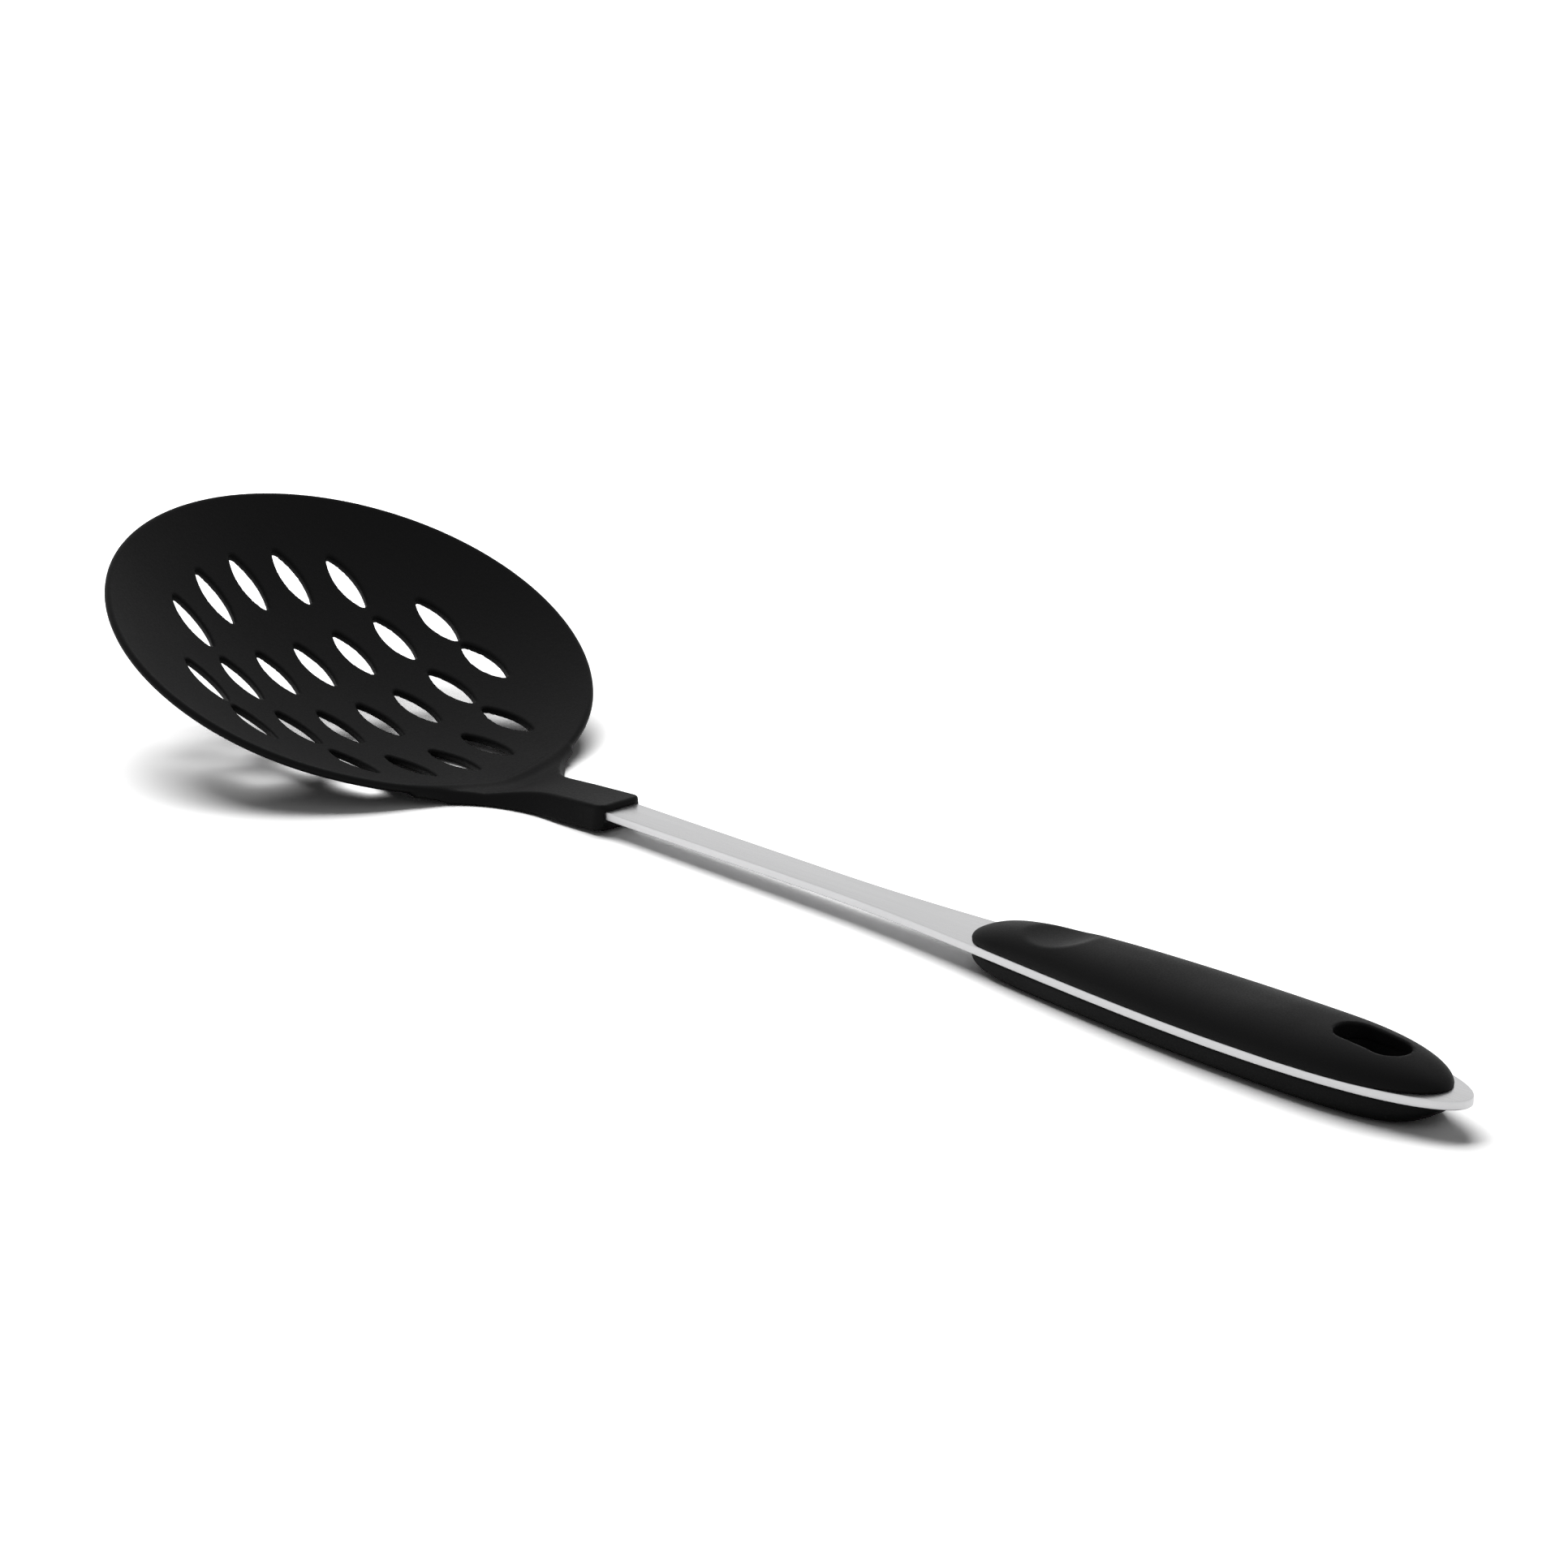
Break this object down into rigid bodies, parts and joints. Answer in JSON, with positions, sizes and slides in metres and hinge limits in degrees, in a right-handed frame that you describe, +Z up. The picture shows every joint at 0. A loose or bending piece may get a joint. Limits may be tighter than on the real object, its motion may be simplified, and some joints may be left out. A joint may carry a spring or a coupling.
{
  "type": "skimmer",
  "caption": "Kitchen skimmer with a shallow slotted round dish, a flat steel shank and a soft two-part grip with a hanging slot.",
  "frame": {"origin": "on the table, under the middle of the object's length and width", "axes": "+X along the object from the dish to the end of the grip, +Z up from the table"},
  "size_m": [0.355, 0.105, 0.0396],
  "materials": {
    "head_nylon": "fine matte moulded black nylon",
    "shank_steel": "brushed along its length",
    "core_plastic": "plain moulded hard plastic, hidden inside the grip",
    "grip_rubber": "soft-touch matte black"
  },
  "bodies": {
    "root": {"skimmer_head": "head_nylon", "steel_shank": "shank_steel", "upper_grip_core": "core_plastic", "lower_grip_core": "core_plastic", "upper_grip_skin": "grip_rubber", "lower_grip_skin": "grip_rubber"}
  },
  "joints": []
}
